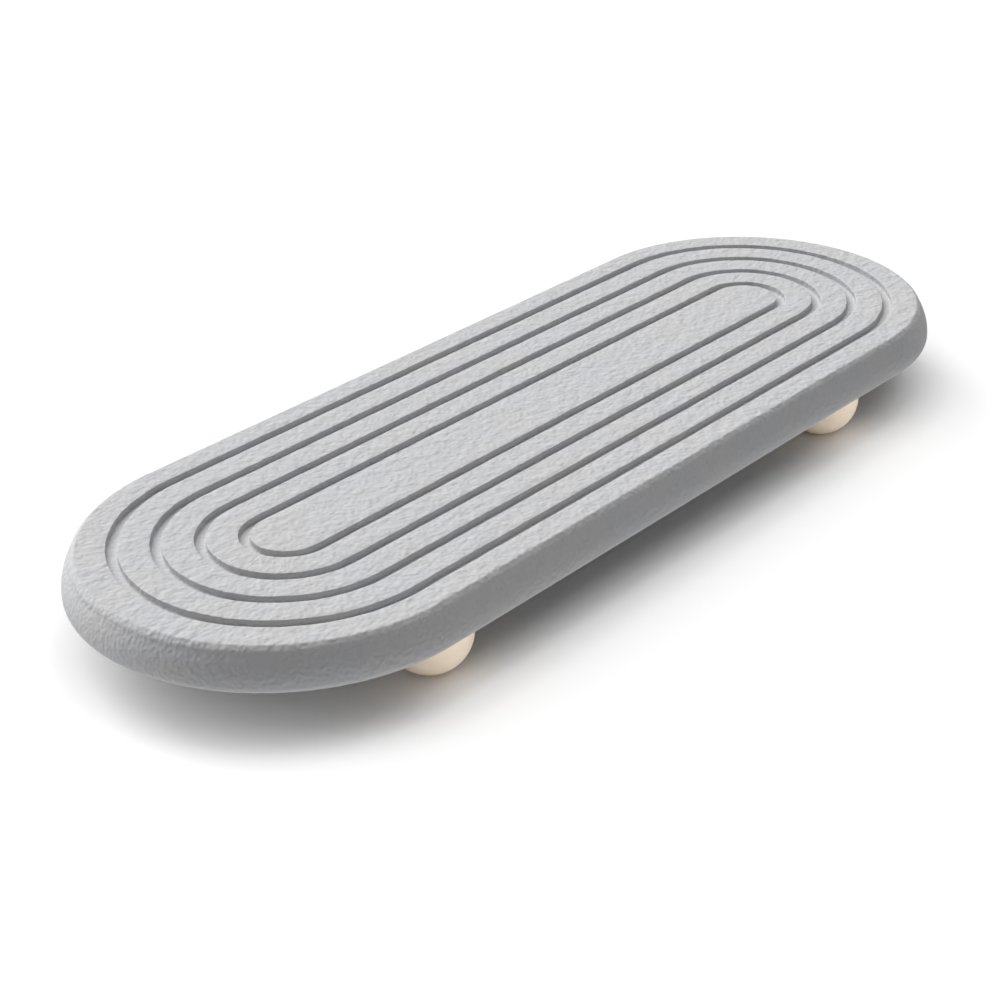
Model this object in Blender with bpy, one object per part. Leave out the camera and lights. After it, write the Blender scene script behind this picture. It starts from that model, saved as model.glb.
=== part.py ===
"""A long drying tray: one grooved diatomite slab carried by four turned wooden ball feet.

Metres, +Z up. The slab's long side runs along X, and the origin is on the surface that the
tray stands on, under the middle of the slab.
"""
import math

import bmesh
import bpy
from mathutils import Vector

# Slab outline and section
SLAB_HALF_RUN = 0.0958          # from the middle to where each round end starts
SLAB_END_RADIUS = 0.0542        # the round ends, and half the slab's width
SLAB_THICKNESS = 0.0111
SIDE_TAPER = 0.0009             # how far the side leans in on its way up
TOP_EDGE_REACH = 0.0034         # the rounded top edge, measured in from the side
TOP_EDGE_DROP = 0.0022          # and measured down from the top
BOTTOM_EDGE_RADIUS = 0.0020

# Drainage grooves, one inside the other
GROOVE_COUNT = 4
RIM_LAND = 0.0119               # from the side to the middle of the outermost groove
GROOVE_PITCH = 0.0105           # from one groove's middle to the next
GROOVE_RUN_SHORTFALL = 0.0010   # how much sooner the grooves start to turn than the slab does
GROOVE_WIDTH = 0.0026           # wall to wall
GROOVE_DEPTH = 0.0022
GROOVE_LIP = 0.0004             # the eased lip on both sides
GROOVE_FLOOR_RISE = 0.0009      # how far the dished floor climbs to the walls
INNER_GROOVE_LEAST = 0.0040     # no groove turns tighter than this

# Ball feet
BALL_RADIUS = 0.0110
SEAT_SHARE = 0.6727             # how far up the radius the flat is that is glued to the slab
REST_SHARE = 0.9727             # how far down the radius the small flat is that the ball stands on
FOOT_END_INSET = 0.0659         # from the slab's end to the ball's middle
FOOT_SIDE_INSET = 0.0190        # from the slab's side to the ball's middle
SEAT_GAP = 0.0003               # the glue line between a foot and the slab

# Dowels that locate the feet
DOWEL_RADIUS = 0.0030
DOWEL_CHAMFER = 0.0006
DOWEL_CLEARANCE = 0.0003        # round the dowel and at each of its ends
SLAB_SOCKET_DEPTH = 0.0052
FOOT_SOCKET_DEPTH = 0.0070
CUT_OVERRUN = 0.0020            # how far a socket's cutter stands out of its mouth

# Facets
END_ARC_STEPS = 24
EDGE_ARC_STEPS = 4
FLOOR_ARC_STEPS = 4
BALL_SIDES = 28
BALL_RINGS = 14
DOWEL_SIDES = 20

# Worked out from the sizes above
SEAT_ABOVE_CENTRE = BALL_RADIUS * SEAT_SHARE
REST_BELOW_CENTRE = BALL_RADIUS * REST_SHARE
BALL_CENTRE_HEIGHT = REST_BELOW_CENTRE
SEAT_HEIGHT = BALL_CENTRE_HEIGHT + SEAT_ABOVE_CENTRE
SLAB_BOTTOM = SEAT_HEIGHT + SEAT_GAP
SLAB_TOP = SLAB_BOTTOM + SLAB_THICKNESS
SOCKET_RADIUS = DOWEL_RADIUS + DOWEL_CLEARANCE
FOOT_PLACES = {
    "near_left": (-1, -1),
    "near_right": (1, -1),
    "far_right": (1, 1),
    "far_left": (-1, 1),
}


def clear_scene():
    for thing in list(bpy.data.objects):
        bpy.data.objects.remove(thing, do_unlink=True)


def material(name, colour, roughness):
    finish = bpy.data.materials.new(name)
    finish.use_nodes = True
    shader = finish.node_tree.nodes["Principled BSDF"]
    shader.inputs["Base Color"].default_value = (*colour, 1.0)
    shader.inputs["Roughness"].default_value = roughness
    shader.inputs["Metallic"].default_value = 0.0
    return finish


def diatomite():
    """Dry pressed earth: pale cool grey, dead matt."""
    return material("diatomite", (0.58, 0.59, 0.61), 0.95)


def turned_wood():
    """Pale sanded wood with a thin clear finish."""
    return material("turned_wood", (0.80, 0.64, 0.47), 0.45)


def dowel_wood():
    """Bare wood, a little darker than the feet."""
    return material("dowel_wood", (0.66, 0.48, 0.32), 0.75)


def new_object(name, mesh, finish):
    mesh.materials.append(finish)
    thing = bpy.data.objects.new(name, mesh)
    bpy.context.scene.collection.objects.link(thing)
    return thing


def arc(centre_across, centre_up, half_across, half_up, start, end, steps):
    """Points of an elliptic arc in a section, as (across, up) pairs, angles in degrees."""
    points = []
    for step in range(steps + 1):
        turn = math.radians(start + (end - start) * step / steps)
        points.append((centre_across + half_across * math.cos(turn), centre_up + half_up * math.sin(turn)))
    return points


def stadium(half_run, radius, height):
    """One level ring, anticlockwise from above: two half circles joined by straight runs."""
    ring = []
    for end in (1, -1):
        for step in range(END_ARC_STEPS + 1):
            turn = math.pi * (step / END_ARC_STEPS - 0.5)
            along = end * (half_run + radius * math.cos(turn))
            ring.append(Vector((along, end * radius * math.sin(turn), height)))
    return ring


def skin(name, rings):
    """A closed mesh over level rings that go out over the top, down the side and back underneath."""
    mesh = bmesh.new()
    loops = [[mesh.verts.new(point) for point in ring] for ring in rings]
    for inner, outer in zip(loops, loops[1:]):
        count = len(inner)
        for here in range(count):
            there = (here + 1) % count
            mesh.faces.new((inner[here], outer[here], outer[there], inner[there]))
    mesh.faces.new(loops[0])
    mesh.faces.new(reversed(loops[-1]))
    data = bpy.data.meshes.new(name)
    mesh.to_mesh(data)
    mesh.free()
    return data


def shade_round(mesh, sharp_degrees):
    mesh.shade_smooth()
    mesh.set_sharp_from_angle(angle=math.radians(sharp_degrees))


def groove_radii():
    """Middle radius of each groove, innermost first."""
    outermost = SLAB_END_RADIUS - RIM_LAND
    radii = [outermost - GROOVE_PITCH * step for step in range(GROOVE_COUNT)]
    return [radius for radius in reversed(radii) if radius > INNER_GROOVE_LEAST]


def groove_section():
    """Half a groove's cut, from its middle out to the level top, as (across, up) pairs."""
    half = GROOVE_WIDTH / 2
    floor = arc(0.0, GROOVE_FLOOR_RISE - GROOVE_DEPTH, half, GROOVE_FLOOR_RISE, 270, 360, FLOOR_ARC_STEPS // 2)
    return floor + [(half, -GROOVE_LIP), (half + GROOVE_LIP, 0.0)]


def slab_rings():
    rings = []
    half_section = groove_section()
    groove_run = SLAB_HALF_RUN - GROOVE_RUN_SHORTFALL
    for radius in groove_radii():
        for across, up in reversed(half_section):
            rings.append(stadium(groove_run, radius - across, SLAB_TOP + up))
        for across, up in half_section[1:]:
            rings.append(stadium(groove_run, radius + across, SLAB_TOP + up))
    top_radius = SLAB_END_RADIUS - SIDE_TAPER
    top_edge = arc(top_radius - TOP_EDGE_REACH, SLAB_TOP - TOP_EDGE_DROP, TOP_EDGE_REACH, TOP_EDGE_DROP,
                   90, 0, EDGE_ARC_STEPS)
    bottom_edge = arc(SLAB_END_RADIUS - BOTTOM_EDGE_RADIUS, SLAB_BOTTOM + BOTTOM_EDGE_RADIUS,
                      BOTTOM_EDGE_RADIUS, BOTTOM_EDGE_RADIUS, 0, -90, EDGE_ARC_STEPS)
    for radius, height in top_edge + bottom_edge:
        rings.append(stadium(SLAB_HALF_RUN, radius, height))
    return rings


def foot_place(signs):
    """Where a ball's middle is, above the surface that the tray stands on."""
    along = SLAB_HALF_RUN + SLAB_END_RADIUS - FOOT_END_INSET
    across = SLAB_END_RADIUS - FOOT_SIDE_INSET
    return Vector((signs[0] * along, signs[1] * across, BALL_CENTRE_HEIGHT))


def turned(name, profile, sides):
    """A turned solid about its own Z axis from (radius, height) points, given from top to bottom."""
    rings = []
    for radius, height in profile:
        ring = []
        for side in range(sides):
            turn = math.tau * side / sides
            ring.append(Vector((radius * math.cos(turn), radius * math.sin(turn), height)))
        rings.append(ring)
    return skin(name, rings)


def socket_cutter(name, low, high):
    """A plain cylinder on the foot's axis, hidden, that cuts a dowel's socket."""
    data = turned(name, [(SOCKET_RADIUS, high), (SOCKET_RADIUS, low)], DOWEL_SIDES)
    cutter = bpy.data.objects.new(name, data)
    cutter.hide_render = True
    cutter.display_type = "WIRE"
    bpy.context.scene.collection.objects.link(cutter)
    return cutter


def cut(thing, cutter):
    step = thing.modifiers.new(cutter.name, "BOOLEAN")
    step.operation = "DIFFERENCE"
    step.solver = "EXACT"
    step.object = cutter


def make_slab():
    mesh = skin("diatomite_slab", slab_rings())
    shade_round(mesh, 40)
    slab = new_object("diatomite_slab", mesh, diatomite())
    for place, signs in FOOT_PLACES.items():
        middle = foot_place(signs)
        low = SLAB_BOTTOM - middle.z - CUT_OVERRUN
        high = SLAB_BOTTOM - middle.z + SLAB_SOCKET_DEPTH
        cutter = socket_cutter("slab_socket_" + place, low, high)
        cutter.location = middle
        cut(slab, cutter)
    return slab


def ball_profile():
    """The ball's outline between its two flats, from top to bottom."""
    top = math.degrees(math.asin(SEAT_SHARE))
    bottom = -math.degrees(math.asin(REST_SHARE))
    return arc(0.0, 0.0, BALL_RADIUS, BALL_RADIUS, top, bottom, BALL_RINGS)


def make_foot(place, signs, finish):
    mesh = turned("ball_foot_" + place, ball_profile(), BALL_SIDES)
    shade_round(mesh, 40)
    foot = new_object("ball_foot_" + place, mesh, finish)
    foot.location = foot_place(signs)
    cutter = socket_cutter("foot_socket_" + place, SEAT_ABOVE_CENTRE - FOOT_SOCKET_DEPTH,
                           SEAT_ABOVE_CENTRE + CUT_OVERRUN)
    cutter.parent = foot
    cut(foot, cutter)
    return foot


def make_dowel(place, signs, finish):
    low = SEAT_ABOVE_CENTRE - FOOT_SOCKET_DEPTH + DOWEL_CLEARANCE
    high = SEAT_ABOVE_CENTRE + SEAT_GAP + SLAB_SOCKET_DEPTH - DOWEL_CLEARANCE
    eased = DOWEL_RADIUS - DOWEL_CHAMFER
    profile = [(eased, high), (DOWEL_RADIUS, high - DOWEL_CHAMFER),
               (DOWEL_RADIUS, low + DOWEL_CHAMFER), (eased, low)]
    mesh = turned("dowel_" + place, profile, DOWEL_SIDES)
    shade_round(mesh, 30)
    dowel = new_object("dowel_" + place, mesh, finish)
    dowel.location = foot_place(signs)
    return dowel


def build():
    clear_scene()
    make_slab()
    foot_finish = turned_wood()
    dowel_finish = dowel_wood()
    for place, signs in FOOT_PLACES.items():
        make_foot(place, signs, foot_finish)
        make_dowel(place, signs, dowel_finish)


build()
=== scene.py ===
"""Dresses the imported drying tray: a pressed diatomite slab with four drainage grooves, standing on
four wooden ball feet.

Metres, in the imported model's own frame: +X along the slab, +Y away from the camera, +Z up, with
the floor at zero under the middle of the slab.
"""
import math

import bmesh
import bpy
import numpy as np
from mathutils import Matrix, Vector


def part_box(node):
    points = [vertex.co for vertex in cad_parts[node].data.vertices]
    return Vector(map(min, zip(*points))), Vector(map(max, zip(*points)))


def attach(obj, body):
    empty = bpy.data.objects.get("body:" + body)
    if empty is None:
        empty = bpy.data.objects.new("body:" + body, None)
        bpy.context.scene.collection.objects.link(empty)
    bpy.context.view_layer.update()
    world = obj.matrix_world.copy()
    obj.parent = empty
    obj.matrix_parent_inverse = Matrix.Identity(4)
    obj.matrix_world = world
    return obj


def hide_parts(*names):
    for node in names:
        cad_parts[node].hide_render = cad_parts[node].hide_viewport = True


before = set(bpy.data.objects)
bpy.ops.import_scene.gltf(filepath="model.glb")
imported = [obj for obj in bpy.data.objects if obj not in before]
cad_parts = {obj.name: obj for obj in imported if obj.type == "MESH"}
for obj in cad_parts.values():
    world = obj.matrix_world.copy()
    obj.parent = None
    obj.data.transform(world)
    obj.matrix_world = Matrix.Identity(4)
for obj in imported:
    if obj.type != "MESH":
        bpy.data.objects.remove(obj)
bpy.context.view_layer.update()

# Slab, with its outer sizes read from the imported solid
SLAB_LOW, SLAB_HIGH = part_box("diatomite_slab")
SLAB_END_RADIUS = SLAB_HIGH.y
SLAB_HALF_RUN = SLAB_HIGH.x - SLAB_HIGH.y
SLAB_BOTTOM = SLAB_LOW.z
SLAB_TOP = SLAB_HIGH.z
FLAT_TOP_INSET = 0.0041         # from the slab's widest outline in to where the flat top ends
CREASE_RADIUS = 0.0010          # the soft crease there
BEVEL_TILT = 42.0               # the narrow bevel below it, in degrees from level
BEVEL_RUN = 0.0005
SHOULDER_RADIUS = 0.0020        # from the bevel into the leaning side
SHOULDER_TILT = 77.0            # where the shoulder ends, in degrees from level
BOTTOM_EDGE_RADIUS = 0.0020
SOCKET_RADIUS = 0.0033          # the blind socket over each foot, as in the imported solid
SOCKET_DEPTH = 0.0052

# Grooves
GROOVE_COUNT = 4
RIM_LAND = 0.0119               # from the slab's side to the middle of the outermost groove
GROOVE_PITCH = 0.0105           # from one groove's middle to the next
GROOVE_RUN_SHORTFALL = 0.0010   # how much sooner the grooves start to turn than the slab does
GROOVE_WIDTH = 0.0027           # wall to wall
GROOVE_DEPTH = 0.0017
GROOVE_FLOOR_CORNER = 0.0005    # the hollow between a wall and the floor
GROOVE_LIP = 0.0002             # the worn lip

# Ball feet
BALL_RADIUS = 0.0110
FEET = ("near_left", "near_right", "far_right", "far_left")
REST_FLAT_RADIUS = 0.00255      # the small flat that each ball stands on

# How finely the pieces are meshed
END_STEPS = 140                 # round each end of the slab
RUN_STEPS = 110                 # along each straight side
LAND_STEP = 0.0018              # across the level lands between the grooves
LAND_LEAST_STEPS = 2
RIM_LAND_STEPS = 5
SPINE_HALF_WIDTH = 0.0005       # the narrow strip along the slab's middle that closes the top
GROOVE_FLOOR_STEPS = 4
GROOVE_CORNER_STEPS = 5
GROOVE_LIP_STEPS = 4
CREASE_STEPS = 6
SHOULDER_STEPS = 8
SIDE_STEPS = 6
BOTTOM_EDGE_STEPS = 8
SOCKET_SIDES = 40
FOOT_SIDES = 96
FOOT_RINGS = 56
SLAB_SHARP_ANGLE = 50.0         # edges that turn by more than this, in degrees, stay sharp
FOOT_SHARP_ANGLE = 35.0

# Unevenness in the slab's mesh, from the pressing
PRESS_CELL = 0.0042             # width of the soft rises and falls of the top
PRESS_DEPTH = 0.00003
PRESS_SEED = 11
LIP_WANDER_CELL = 0.0030
LIP_WANDER = 0.00010            # how far the groove walls and lips stray sideways
LIP_WANDER_SEED = 5
WANDER_START = 0.0060           # from the slab's long axis out to where they begin to stray

# Repeatable noise: what scrambles the place of a lattice corner into its value
CORNER_SHIFT = 4096
CORNER_MASK = 0x3FFF
CORNER_SCRAMBLERS = (73856093, 19349663, 83492791)
SEED_SCRAMBLER = 2654435761
VALUE_SCRAMBLER = 1274126177
VALUE_MASK = 0x7FFFFFFF
VALUE_COUNT = 65536

# Diatomite finish
DIATOMITE_TONES = ((0.590, 0.596, 0.616), (0.604, 0.602, 0.604))
DIATOMITE_ROUGHNESS = (0.92, 0.98)
GRAIN_DEPTH = 0.00076           # the relief that a change of one in the grain's height stands for
HOLLOW_PAINTED_SHADE = 0.11              # painted shade: how much darker the grain's hollows are coloured than its high grains
TOP_DIMPLES = 0.80              # share of the broad dimples in the grain of the top
SIDE_DIMPLES = 0.45             # and in that of the side
SIDE_SHARE = 0.50               # of the grain's depth, on the side
TOP_FADE = 0.0012               # how far below the top the side's grain has taken over
STROKES_PER_RADIAN = 30.0       # marks side by side, fanning out over the round ends
STROKES_PER_METRE = 320.0       # and one after another on the way out
STROKE_SHARE = 0.18             # of the grain's depth
STROKE_REACH = 0.012            # how far past the straight run they have their full depth

# Wood finishes
FOOT_TONES = ((0.93, 0.77, 0.59), (0.97, 0.83, 0.67))
FOOT_ROUGHNESS = (0.40, 0.50)
FOOT_FIBRE_DEPTH = 0.00003
DOWEL_TONES = ((0.60, 0.43, 0.28), (0.70, 0.53, 0.36))
DOWEL_ROUGHNESS = (0.68, 0.82)
DOWEL_FIBRE_DEPTH = 0.00006
DOWEL_RINGS_PER_METRE = 500.0
FIGURE_STRETCH = 0.06           # how much slower the wood's figure changes along its grain

# The parts of a noise mask over which tone and roughness drift from one end to the other
TONE_SPAN = (0.35, 0.65)
ROUGHNESS_SPAN = (0.3, 0.7)
NOISE_MIDDLE = 0.5

# Camera, fitted to the groove lips, the outline and the two feet that show. Angles in degrees
CAMERA_AZIMUTH = -138.358       # from +X towards +Y
CAMERA_ELEVATION = 27.905
CAMERA_DISTANCE = 0.51006
CAMERA_ROLL = -1.182
CAMERA_AIM = Vector((-0.050308, -0.028670, SLAB_TOP))
CAMERA_LENS = 74.399
CAMERA_CLIP_START = 0.01
SENSOR_WIDTH = 36.0

# Light. For each soft lamp: azimuth from +X towards +Y, elevation and width in degrees, strength
TRAY_LAMPS = {
    "tray_far": (90.0, 38.0, 30.0, 1.775),
    "tray_far_low": (120.0, 14.0, 30.0, 0.842),
    "tray_far_high": (60.0, 64.0, 34.0, 1.951),
    "tray_near_left": (240.0, 8.0, 16.0, 0.210),
    "tray_near_right": (300.0, 8.0, 16.0, 0.215),
}
FLOOR_LAMPS = {
    "floor_top": (0.0, 90.0, 34.0, 0.388),
    "floor_far": (90.0, 38.0, 30.0, 0.592),
    "floor_far_high": (120.0, 64.0, 34.0, 0.483),
    "floor_left_far": (150.0, 38.0, 30.0, 0.350),
    "floor_left": (180.0, 38.0, 30.0, 0.360),
    "floor_left_high": (180.0, 64.0, 34.0, 0.649),
    "floor_left_near": (210.0, 38.0, 30.0, 0.436),
    "floor_near_high": (240.0, 64.0, 34.0, 0.663),
    "floor_right_high": (300.0, 64.0, 34.0, 0.620),
}
FOOT_LAMPS = {
    "foot_card_front": (240.0, 8.0, 16.0, 0.80),
    "foot_card_right": (320.0, 8.0, 16.0, 0.50),
}

FLOOR_HALF_SIDE = 4.0
FLOOR_WHITE = 0.95              # to the eye
FLOOR_BOUNCE = 0.62             # what the paper throws back onto the tray


# Shared helpers

def towards(azimuth, elevation):
    """Unit vector towards a place in the studio, from angles in degrees."""
    across, up = math.radians(azimuth), math.radians(elevation)
    return Vector((math.cos(across) * math.cos(up), math.sin(across) * math.cos(up), math.sin(up)))


def arc_turns(start, end, steps):
    """Angles from start to end, given in degrees and returned in radians."""
    return np.radians(np.linspace(start, end, steps + 1))


def circle(radius, height, sides):
    """One level ring of points round the Z axis, anticlockwise from above."""
    turns = [math.tau * side / sides for side in range(sides)]
    return [Vector((radius * math.cos(turn), radius * math.sin(turn), height)) for turn in turns]


def skin(mesh, rings):
    """Joins each closed ring of points to the next, and returns the rings of vertices."""
    loops = [[mesh.verts.new(point) for point in ring] for ring in rings]
    for first, second in zip(loops, loops[1:]):
        for here in range(len(first)):
            there = (here + 1) % len(first)
            mesh.faces.new((first[here], second[here], second[there], first[there]))
    return loops


def add_object(name, data):
    thing = bpy.data.objects.new(name, data)
    bpy.context.scene.collection.objects.link(thing)
    return thing


def add_piece(name, mesh, finish, sharp_angle):
    """Puts a finished mesh into the scene, shaded smooth but for its sharp edges."""
    data = bpy.data.meshes.new(name)
    mesh.to_mesh(data)
    mesh.free()
    data.materials.append(finish)
    data.shade_smooth()
    data.set_sharp_from_angle(angle=math.radians(sharp_angle))
    return add_object(name, data)


def lattice_noise(points, cell, seed):
    """Smooth noise from -1 to 1 at each point, with features about one cell wide."""
    placed = points / cell
    base = np.floor(placed).astype(np.int64)
    part = placed - base
    part = part * part * (3.0 - 2.0 * part)
    total = np.zeros(len(points))
    for corner in range(8):
        step = np.array([corner & 1, corner >> 1 & 1, corner >> 2 & 1])
        key = ((base + step + CORNER_SHIFT) & CORNER_MASK) * CORNER_SCRAMBLERS
        mixed = key[:, 0] ^ key[:, 1] ^ key[:, 2] ^ (seed * SEED_SCRAMBLER)
        mixed = (mixed ^ (mixed >> 13)) * VALUE_SCRAMBLER & VALUE_MASK
        value = (mixed ^ (mixed >> 16)) % VALUE_COUNT / ((VALUE_COUNT - 1) / 2) - 1.0
        total += np.prod(np.where(step == 1, part, 1.0 - part), axis=1) * value
    return total


# Shader nodes

def add_node(tree, kind, **settings):
    node = tree.nodes.new(kind)
    for name, value in settings.items():
        setattr(node, name, value)
    return node


def feed(tree, value, socket):
    """Sets a socket to a number, or links another node's output to it."""
    if isinstance(value, (int, float)):
        socket.default_value = value
    else:
        tree.links.new(value, socket)


def math_node(tree, operation, *values):
    node = add_node(tree, "ShaderNodeMath", operation=operation)
    for value, socket in zip(values, node.inputs):
        feed(tree, value, socket)
    return node.outputs[0]


def above_middle(tree, noise):
    """A noise mask brought down to swing round zero."""
    return math_node(tree, "SUBTRACT", noise, NOISE_MIDDLE)


def fine_noise(tree, vector, scale, detail, roughness=0.5):
    noise = add_node(tree, "ShaderNodeTexNoise")
    noise.inputs["Detail"].default_value = detail
    noise.inputs["Roughness"].default_value = roughness
    tree.links.new(vector, noise.inputs["Vector"])
    feed(tree, scale, noise.inputs["Scale"])
    return noise.outputs["Fac"]


def stretched(tree, source, span, ends):
    """Goes from one end value to the other while the source crosses a span."""
    drift = add_node(tree, "ShaderNodeMapRange")
    tree.links.new(source, drift.inputs["Value"])
    for name, value in zip(("From Min", "From Max", "To Min", "To Max"), (*span, *ends)):
        drift.inputs[name].default_value = value
    return drift.outputs["Result"]


def tone_ramp(tree, source, tones):
    """Colour that drifts between two tones with a mask."""
    ramp = add_node(tree, "ShaderNodeValToRGB")
    for stop, place, tone in zip(ramp.color_ramp.elements, TONE_SPAN, tones):
        stop.position = place
        stop.color = (*tone, 1.0)
    tree.links.new(source, ramp.inputs["Fac"])
    return ramp.outputs["Color"]


def bump(tree, height, distance):
    node = add_node(tree, "ShaderNodeBump")
    node.inputs["Distance"].default_value = distance
    tree.links.new(height, node.inputs["Height"])
    return node.outputs["Normal"]


def object_coords(tree):
    return add_node(tree, "ShaderNodeTexCoord").outputs["Object"]


def object_place(tree):
    """X, Y and Z of the shaded point, each on its own."""
    place = add_node(tree, "ShaderNodeSeparateXYZ")
    tree.links.new(object_coords(tree), place.inputs[0])
    return place.outputs


# Shader node groups

def new_group(name, inputs, outputs):
    """A group that takes a vector and named numbers with their usual values, and gives masks."""
    tree = bpy.data.node_groups.new(name, "ShaderNodeTree")
    face = tree.interface
    face.new_socket(name="Vector", in_out="INPUT", socket_type="NodeSocketVector")
    for label, value in inputs.items():
        socket = face.new_socket(name=label, in_out="INPUT", socket_type="NodeSocketFloat")
        socket.default_value = value
    for label in outputs:
        face.new_socket(name=label, in_out="OUTPUT", socket_type="NodeSocketFloat")
    inside = add_node(tree, "NodeGroupInput").outputs
    out = add_node(tree, "NodeGroupOutput").inputs
    return tree, inside, out


def pressed_grain_group():
    """Pressed earth: sandy grain over shallow dimples, with soft patches in its tone."""
    usual = {"Grains per Metre": 1000.0, "Dimples per Metre": 390.0, "Patches per Metre": 55.0,
             "Dimple Share": TOP_DIMPLES}
    tree, inside, out = new_group("pressed_grain", usual, ("Height", "Patch"))
    grain = fine_noise(tree, inside["Vector"], inside["Grains per Metre"], detail=0.0)
    dimple = fine_noise(tree, inside["Vector"], inside["Dimples per Metre"], detail=1.0)
    patch = fine_noise(tree, inside["Vector"], inside["Patches per Metre"], detail=2.0)
    mixed = add_node(tree, "ShaderNodeMix", data_type="FLOAT")
    tree.links.new(inside["Dimple Share"], mixed.inputs["Factor"])
    tree.links.new(grain, mixed.inputs["A"])
    tree.links.new(dimple, mixed.inputs["B"])
    tree.links.new(mixed.outputs["Result"], out["Height"])
    tree.links.new(patch, out["Patch"])
    return tree


def wood_figure_group():
    """Straight pale wood along one axis: growth rings and fine fibres."""
    usual = {"Rings per Metre": 260.0, "Fibres per Metre": 1800.0}
    tree, inside, out = new_group("wood_figure", usual, ("Ring", "Fibre"))
    along = add_node(tree, "ShaderNodeMapping")
    along.inputs["Scale"].default_value = (FIGURE_STRETCH, 1.0, 1.0)
    tree.links.new(inside["Vector"], along.inputs["Vector"])
    ring = fine_noise(tree, along.outputs[0], inside["Rings per Metre"], detail=1.0, roughness=0.4)
    fibre = fine_noise(tree, along.outputs[0], inside["Fibres per Metre"], detail=3.0,
                       roughness=0.6)
    tree.links.new(ring, out["Ring"])
    tree.links.new(fibre, out["Fibre"])
    return tree


# Materials

def new_material(name):
    finish = bpy.data.materials.new(name)
    finish.use_nodes = True
    tree = finish.node_tree
    return finish, tree, tree.nodes["Principled BSDF"]


def placed_group(tree, group):
    node = add_node(tree, "ShaderNodeGroup", node_tree=group)
    tree.links.new(object_coords(tree), node.inputs["Vector"])
    return node


def end_strokes(tree):
    """Height of the short marks that fan out across both round ends, as the press left them."""
    place = object_place(tree)
    past_run = math_node(tree, "SUBTRACT", math_node(tree, "ABSOLUTE", place["X"]), SLAB_HALF_RUN)
    past_run = math_node(tree, "MAXIMUM", past_run, 0.0)
    around = math_node(tree, "ARCTAN2", place["Y"], past_run)
    squares = [math_node(tree, "POWER", side, 2.0) for side in (place["Y"], past_run)]
    out = math_node(tree, "SQRT", math_node(tree, "ADD", *squares))
    fan = add_node(tree, "ShaderNodeCombineXYZ")
    tree.links.new(math_node(tree, "MULTIPLY", around, STROKES_PER_RADIAN), fan.inputs["X"])
    tree.links.new(math_node(tree, "MULTIPLY", out, STROKES_PER_METRE), fan.inputs["Y"])
    tree.links.new(place["X"], fan.inputs["Z"])
    marks = fine_noise(tree, fan.outputs[0], 1.0, detail=1.0)
    near_end = stretched(tree, past_run, (0.0, STROKE_REACH), (0.0, 1.0))
    return math_node(tree, "MULTIPLY", above_middle(tree, marks), near_end)


def top_to_side(tree, on_top, on_side):
    """One value on the slab's top and another on its side, with a short fade below the top."""
    return stretched(tree, object_place(tree)["Z"], (SLAB_TOP - TOP_FADE, SLAB_TOP),
                     (on_side, on_top))


def diatomite_finish(grain):
    """Dead matt pressed diatomite, a pale cool grey, with shade painted into the hollows of its
    grain.
    """
    finish, tree, shader = new_material("pressed_diatomite")
    pressed = placed_group(tree, grain)
    tree.links.new(top_to_side(tree, TOP_DIMPLES, SIDE_DIMPLES), pressed.inputs["Dimple Share"])
    height, patch = above_middle(tree, pressed.outputs["Height"]), pressed.outputs["Patch"]
    # Painted shade: the base colour darkens with the grain's height, darkest in its hollows
    shade = math_node(tree, "ADD", math_node(tree, "MULTIPLY", height, HOLLOW_PAINTED_SHADE), 1.0)
    painted_shade_colour = add_node(tree, "ShaderNodeHueSaturation")
    tree.links.new(tone_ramp(tree, patch, DIATOMITE_TONES), painted_shade_colour.inputs["Color"])
    tree.links.new(shade, painted_shade_colour.inputs["Value"])
    tree.links.new(painted_shade_colour.outputs["Color"], shader.inputs["Base Color"])
    grains = math_node(tree, "MULTIPLY", height, top_to_side(tree, 1.0, SIDE_SHARE))
    strokes = math_node(tree, "MULTIPLY", end_strokes(tree), top_to_side(tree, STROKE_SHARE, 0.0))
    relief = math_node(tree, "ADD", grains, strokes)
    tree.links.new(bump(tree, relief, GRAIN_DEPTH), shader.inputs["Normal"])
    roughness = stretched(tree, patch, ROUGHNESS_SPAN, DIATOMITE_ROUGHNESS)
    tree.links.new(roughness, shader.inputs["Roughness"])
    shader.inputs["Specular IOR Level"].default_value = 0.2
    return finish


def wood_finish(name, figure, tones, roughness, fibre_depth):
    """Wood with its own tones, sheen and depth of fibre, its group and its shader."""
    finish, tree, shader = new_material(name)
    wood = placed_group(tree, figure)
    ring, fibre = wood.outputs["Ring"], wood.outputs["Fibre"]
    tree.links.new(tone_ramp(tree, ring, tones), shader.inputs["Base Color"])
    tree.links.new(bump(tree, fibre, fibre_depth), shader.inputs["Normal"])
    tree.links.new(stretched(tree, fibre, ROUGHNESS_SPAN, roughness), shader.inputs["Roughness"])
    return finish, wood, shader


def foot_wood_finish(figure):
    """Smooth pale wood under a thin satin finish."""
    finish, wood, shader = wood_finish("satin_pale_wood", figure, FOOT_TONES, FOOT_ROUGHNESS,
                                       FOOT_FIBRE_DEPTH)
    shader.inputs["Specular IOR Level"].default_value = 0.9
    return finish


def dowel_wood_finish(figure):
    """Bare planed dowel, a little darker than the feet."""
    finish, wood, shader = wood_finish("bare_dowel_wood", figure, DOWEL_TONES, DOWEL_ROUGHNESS,
                                       DOWEL_FIBRE_DEPTH)
    wood.inputs["Rings per Metre"].default_value = DOWEL_RINGS_PER_METRE
    return finish


# Slab

def groove_radii():
    """Middle radius of each groove's round ends, innermost first."""
    outermost = SLAB_END_RADIUS - RIM_LAND
    return [outermost - GROOVE_PITCH * step for step in reversed(range(GROOVE_COUNT))]


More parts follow.
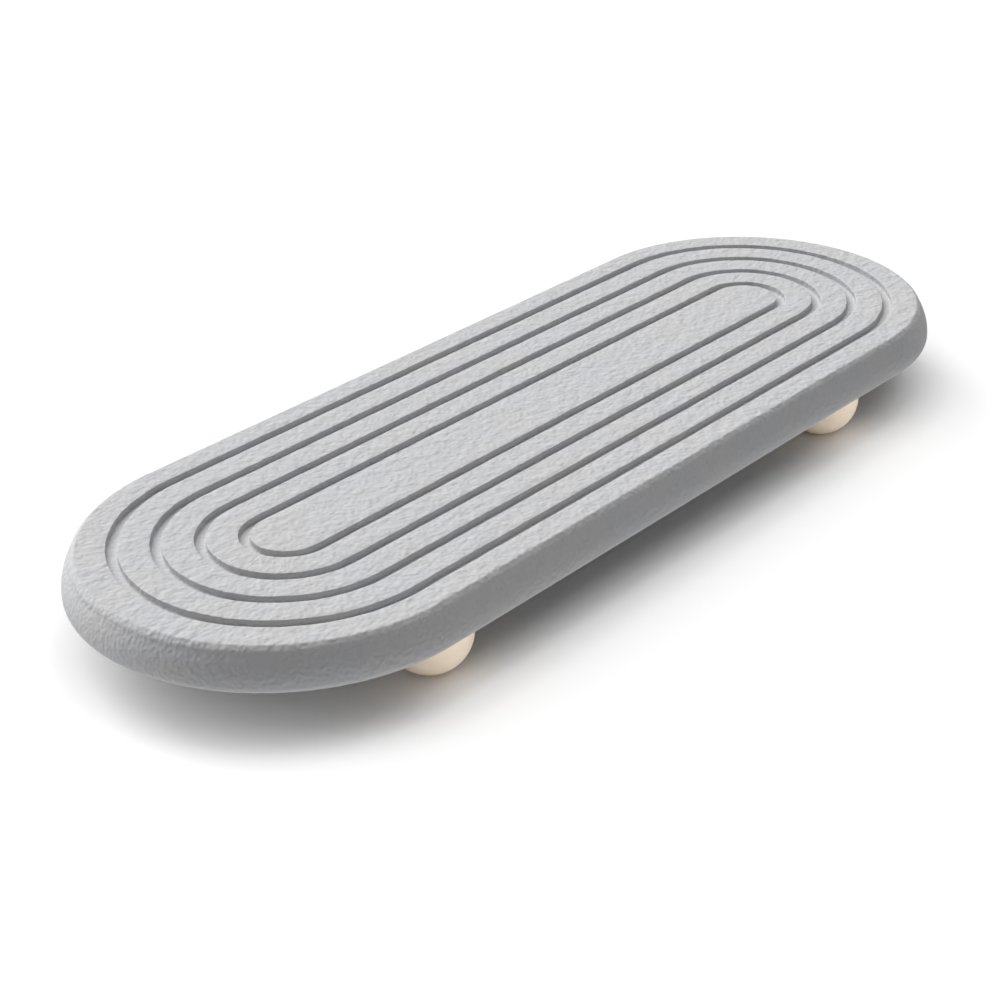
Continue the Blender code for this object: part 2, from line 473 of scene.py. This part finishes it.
def groove_section():
    """Half a groove from its middle to the level top, as (across, up) points: floor, hollow
    corner, wall, worn lip."""
    half, corner, lip = GROOVE_WIDTH / 2, GROOVE_FLOOR_CORNER, GROOVE_LIP
    floor = np.linspace(0.0, half - corner, GROOVE_FLOOR_STEPS, endpoint=False)
    points = [(across, -GROOVE_DEPTH) for across in floor]
    for turn in arc_turns(0, 90, GROOVE_CORNER_STEPS):
        points.append((half - corner + corner * math.sin(turn),
                       corner - GROOVE_DEPTH - corner * math.cos(turn)))
    points.append((half, (corner - GROOVE_DEPTH - lip) / 2))
    for turn in arc_turns(0, 90, GROOVE_LIP_STEPS):
        points.append((half + lip * (1.0 - math.cos(turn)), -lip * (1.0 - math.sin(turn))))
    return points


def rim_section():
    """From the end of the flat top over the crease, bevel and shoulder, down the leaning side and
    round the bottom edge, as (radius, height) points."""
    radius, height = SLAB_END_RADIUS - FLAT_TOP_INSET, SLAB_TOP
    points = []
    for turn in arc_turns(0, BEVEL_TILT, CREASE_STEPS):
        points.append((radius + CREASE_RADIUS * math.sin(turn),
                       height - CREASE_RADIUS * (1.0 - math.cos(turn))))
    radius, height = points[-1]
    tilt = math.radians(BEVEL_TILT)
    radius, height = radius + BEVEL_RUN, height - BEVEL_RUN * math.tan(tilt)
    for turn in arc_turns(BEVEL_TILT, SHOULDER_TILT, SHOULDER_STEPS):
        points.append((radius + SHOULDER_RADIUS * (math.sin(turn) - math.sin(tilt)),
                       height - SHOULDER_RADIUS * (math.cos(tilt) - math.cos(turn))))
    radius, height = points[-1]
    low = SLAB_BOTTOM + BOTTOM_EDGE_RADIUS
    for share in np.linspace(0.0, 1.0, SIDE_STEPS + 1)[1:]:
        belly = share * (2.0 - share)
        points.append((radius + (SLAB_END_RADIUS - radius) * belly,
                       height + (low - height) * share))
    for turn in arc_turns(0, 90, BOTTOM_EDGE_STEPS)[1:]:
        points.append((SLAB_END_RADIUS - BOTTOM_EDGE_RADIUS * (1.0 - math.cos(turn)),
                       low - BOTTOM_EDGE_RADIUS * math.sin(turn)))
    return points


def slab_section():
    """The slab's half section from the middle out, as (radius, height, outer) points. Outer goes
    from zero, where a point turns with the grooves, to one, where it turns with the slab."""
    half_groove = groove_section()
    reach = half_groove[-1][0]
    start = SPINE_HALF_WIDTH
    points = []
    for radius in groove_radii():
        steps = max(LAND_LEAST_STEPS, round((radius - reach - start) / LAND_STEP))
        land = np.linspace(start, radius - reach, steps, endpoint=False)
        points += [(across, SLAB_TOP, 0.0) for across in land]
        points += [(radius - across, SLAB_TOP + up, 0.0) for across, up in reversed(half_groove)]
        points += [(radius + across, SLAB_TOP + up, 0.0) for across, up in half_groove[1:]]
        start = radius + reach + LAND_STEP / 2
    flat_end = SLAB_END_RADIUS - FLAT_TOP_INSET
    points += [(across, SLAB_TOP, (across - start) / (flat_end - start))
               for across in np.linspace(start, flat_end, RIM_LAND_STEPS, endpoint=False)]
    points += [(across, height, 1.0) for across, height in rim_section()]
    return np.array(points)


def slab_stations():
    """Round the slab, anticlockwise from above: (place along the run from -1 to 1, outward x,
    outward y)."""
    stations = []
    for end in (1, -1):
        for step in range(END_STEPS):
            turn = math.pi * (step / END_STEPS - 0.5)
            stations.append((end, end * math.cos(turn), end * math.sin(turn)))
        for step in range(RUN_STEPS):
            stations.append((end * (1.0 - 2.0 * step / RUN_STEPS), 0.0, end))
    return np.array(stations)


def slab_surface(section, stations):
    """Every point of the slab's smooth skin, as an array of rings by stations by three."""
    radius, height, outer = section.T[:, :, None]
    along, out_x, out_y = stations.T[:, None, :]
    half_run = SLAB_HALF_RUN - GROOVE_RUN_SHORTFALL * (1.0 - outer)
    x = along * half_run + radius * out_x
    y = radius * out_y
    z = np.repeat(height, len(stations), axis=1)
    return np.stack([x, y, z], axis=2)


def roughen(points, section, stations):
    """Lets the lips stray a little and the top rise and fall where the earth was pressed, all
    inside the slab's box."""
    flat = points.reshape(-1, 3)
    wander = lattice_noise(flat * (1, 1, 0), LIP_WANDER_CELL, LIP_WANDER_SEED) * LIP_WANDER
    radius = section[:, 0]
    grooved = (radius < SLAB_END_RADIUS - FLAT_TOP_INSET) & (radius > WANDER_START)
    wander *= np.repeat(grooved, len(stations))
    flat[:, 0] += np.tile(stations[:, 1], len(section)) * wander
    flat[:, 1] += np.tile(stations[:, 2], len(section)) * wander
    press = lattice_noise(flat, PRESS_CELL, PRESS_SEED) * PRESS_DEPTH
    above = np.clip((flat[:, 2] - SLAB_BOTTOM) / (SLAB_TOP - SLAB_BOTTOM), 0.0, 1.0)
    flat[:, 2] += (press - PRESS_DEPTH) * above
    return flat.reshape(points.shape)


def close_top(mesh, middle):
    """Closes the narrow strip along the slab's middle: both round ends, then the straight run."""
    left_start = END_STEPS + RUN_STEPS
    mesh.faces.new(middle[:END_STEPS + 1])
    mesh.faces.new(middle[left_start:left_start + END_STEPS + 1])
    count = len(middle)
    for step in range(RUN_STEPS):
        far, near = END_STEPS + step, count - step
        mesh.faces.new((middle[far], middle[far + 1], middle[near - 1], middle[near % count]))


def close_underside(mesh, outline, centres):
    """The flat underside with a blind round socket over each foot."""
    edges = [mesh.edges.get(pair) for pair in zip(outline, outline[1:] + outline[:1])]
    walls = []
    for centre in centres:
        mouth, roof = [], []
        for across in circle(SOCKET_RADIUS, SLAB_BOTTOM, SOCKET_SIDES):
            mouth.append(mesh.verts.new(centre + across))
            roof.append(mesh.verts.new(centre + across + Vector((0.0, 0.0, SOCKET_DEPTH))))
        edges += [mesh.edges.new(pair) for pair in zip(mouth, mouth[1:] + mouth[:1])]
        walls.append((mouth, roof))
    bmesh.ops.triangle_fill(mesh, use_beauty=True, edges=edges, normal=(0, 0, -1))
    for mouth, roof in walls:
        for here in range(SOCKET_SIDES):
            there = (here + 1) % SOCKET_SIDES
            mesh.faces.new((mouth[here], mouth[there], roof[there], roof[here]))
        mesh.faces.new(reversed(roof))


def make_slab(finish):
    section, stations = slab_section(), slab_stations()
    mesh = bmesh.new()
    loops = skin(mesh, roughen(slab_surface(section, stations), section, stations))
    close_top(mesh, loops[0])
    close_underside(mesh, loops[-1], [foot_centre(place) for place in FEET])
    bmesh.ops.recalc_face_normals(mesh, faces=mesh.faces)
    slab = add_piece("pressed_slab", mesh, finish, SLAB_SHARP_ANGLE)
    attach(slab, "root")
    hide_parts("diatomite_slab")
    return slab


# Feet

def foot_centre(place):
    """Middle of a foot's axis, on the floor."""
    low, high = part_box("ball_foot_" + place)
    return Vector(((low.x + high.x) / 2, (low.y + high.y) / 2, 0.0))


def make_foot(place, finish):
    """A turned ball between the seat under the slab and the small flat that it stands on."""
    low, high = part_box("ball_foot_" + place)
    rest = math.sqrt(BALL_RADIUS ** 2 - REST_FLAT_RADIUS ** 2)
    middle = low.z + rest
    top_turn = math.asin((SLAB_BOTTOM - middle) / BALL_RADIUS)
    bottom_turn = -math.asin(rest / BALL_RADIUS)
    rings = []
    for ring in range(FOOT_RINGS + 1):
        turn = top_turn + (bottom_turn - top_turn) * ring / FOOT_RINGS
        rings.append(circle(BALL_RADIUS * math.cos(turn), BALL_RADIUS * math.sin(turn),
                            FOOT_SIDES))
    mesh = bmesh.new()
    loops = skin(mesh, rings)
    mesh.faces.new(loops[0])
    mesh.faces.new(reversed(loops[-1]))
    foot = add_piece("turned_foot_" + place, mesh, finish, FOOT_SHARP_ANGLE)
    foot.location = foot_centre(place) + Vector((0.0, 0.0, middle))
    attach(foot, "root")
    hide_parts("ball_foot_" + place)
    return foot


# Studio

def seen_directly(tree):
    """One where a ray comes straight from the camera or by way of gloss or glass."""
    seen = add_node(tree, "ShaderNodeLightPath").outputs
    either = math_node(tree, "MAXIMUM", seen["Is Camera Ray"], seen["Is Glossy Ray"])
    return math_node(tree, "MAXIMUM", either, seen["Is Transmission Ray"])


def make_floor():
    """White paper to the eye; what it throws back onto the tray is weaker."""
    finish, tree, shader = new_material("white_floor")
    tree.nodes.remove(shader)
    blend = add_node(tree, "ShaderNodeMixShader")
    tree.links.new(seen_directly(tree), blend.inputs["Fac"])
    for place, tone in ((1, FLOOR_BOUNCE), (2, FLOOR_WHITE)):
        paper = add_node(tree, "ShaderNodeBsdfDiffuse")
        paper.inputs["Color"].default_value = (tone, tone, tone, 1.0)
        tree.links.new(paper.outputs[0], blend.inputs[place])
    tree.links.new(blend.outputs[0], tree.nodes["Material Output"].inputs["Surface"])
    side = FLOOR_HALF_SIDE
    corners = [(-side, -side, 0), (side, -side, 0), (side, side, 0), (-side, side, 0)]
    data = bpy.data.meshes.new("studio_floor")
    data.from_pydata(corners, [], [(0, 1, 2, 3)])
    data.materials.append(finish)
    floor = add_object("studio_floor", data)
    return floor


def make_lamps(lamps, lit, name):
    """Soft lamps that light only the given things."""
    group = bpy.data.collections.new(name)
    for thing in lit:
        group.objects.link(thing)
    for lamp_name, (azimuth, elevation, width, strength) in lamps.items():
        data = bpy.data.lights.new(lamp_name, "SUN")
        data.angle = math.radians(width)
        data.energy = strength
        lamp = add_object(lamp_name, data)
        lamp.rotation_mode = "QUATERNION"
        lamp.rotation_quaternion = towards(azimuth, elevation).to_track_quat("Z", "Y")
        lamp.light_linking.receiver_collection = group


def make_sky():
    """A white backdrop to the eye that gives no light of its own."""
    world = bpy.data.worlds.new("studio")
    bpy.context.scene.world = world
    world.use_nodes = True
    tree = world.node_tree
    shade = tree.nodes["Background"]
    shade.inputs["Color"].default_value = (1.0, 1.0, 1.0, 1.0)
    tree.links.new(seen_directly(tree), shade.inputs["Strength"])


def make_camera():
    back = towards(CAMERA_AZIMUTH, CAMERA_ELEVATION)
    roll = Matrix.Rotation(math.radians(CAMERA_ROLL), 3, "Z").to_quaternion()
    data = bpy.data.cameras.new("photo_camera")
    data.lens = CAMERA_LENS
    data.sensor_width = SENSOR_WIDTH
    data.clip_start = CAMERA_CLIP_START
    camera = add_object("photo_camera", data)
    camera.rotation_mode = "QUATERNION"
    camera.location = CAMERA_AIM + back * CAMERA_DISTANCE
    camera.rotation_quaternion = (-back).to_track_quat("-Z", "Y") @ roll
    bpy.context.scene.camera = camera


def dress():
    """Dresses every piece, and returns the feet and the other pieces."""
    grain = pressed_grain_group()
    figure = wood_figure_group()
    slab = make_slab(diatomite_finish(grain))
    foot_finish = foot_wood_finish(figure)
    feet = [make_foot(place, foot_finish) for place in FEET]
    dowel_finish = dowel_wood_finish(figure)
    dowels = [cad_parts["dowel_" + place] for place in FEET]
    for dowel in dowels:
        dowel.data.materials.clear()
        dowel.data.materials.append(dowel_finish)
    return feet, [slab] + dowels


def light(feet, others):
    make_lamps(TRAY_LAMPS, feet + others, "lit_tray")
    make_lamps(FOOT_LAMPS, feet, "lit_feet")
    make_lamps(FLOOR_LAMPS, [make_floor()], "lit_floor")
    make_sky()
    make_camera()
    bpy.context.scene.view_settings.view_transform = "Standard"


light(*dress())
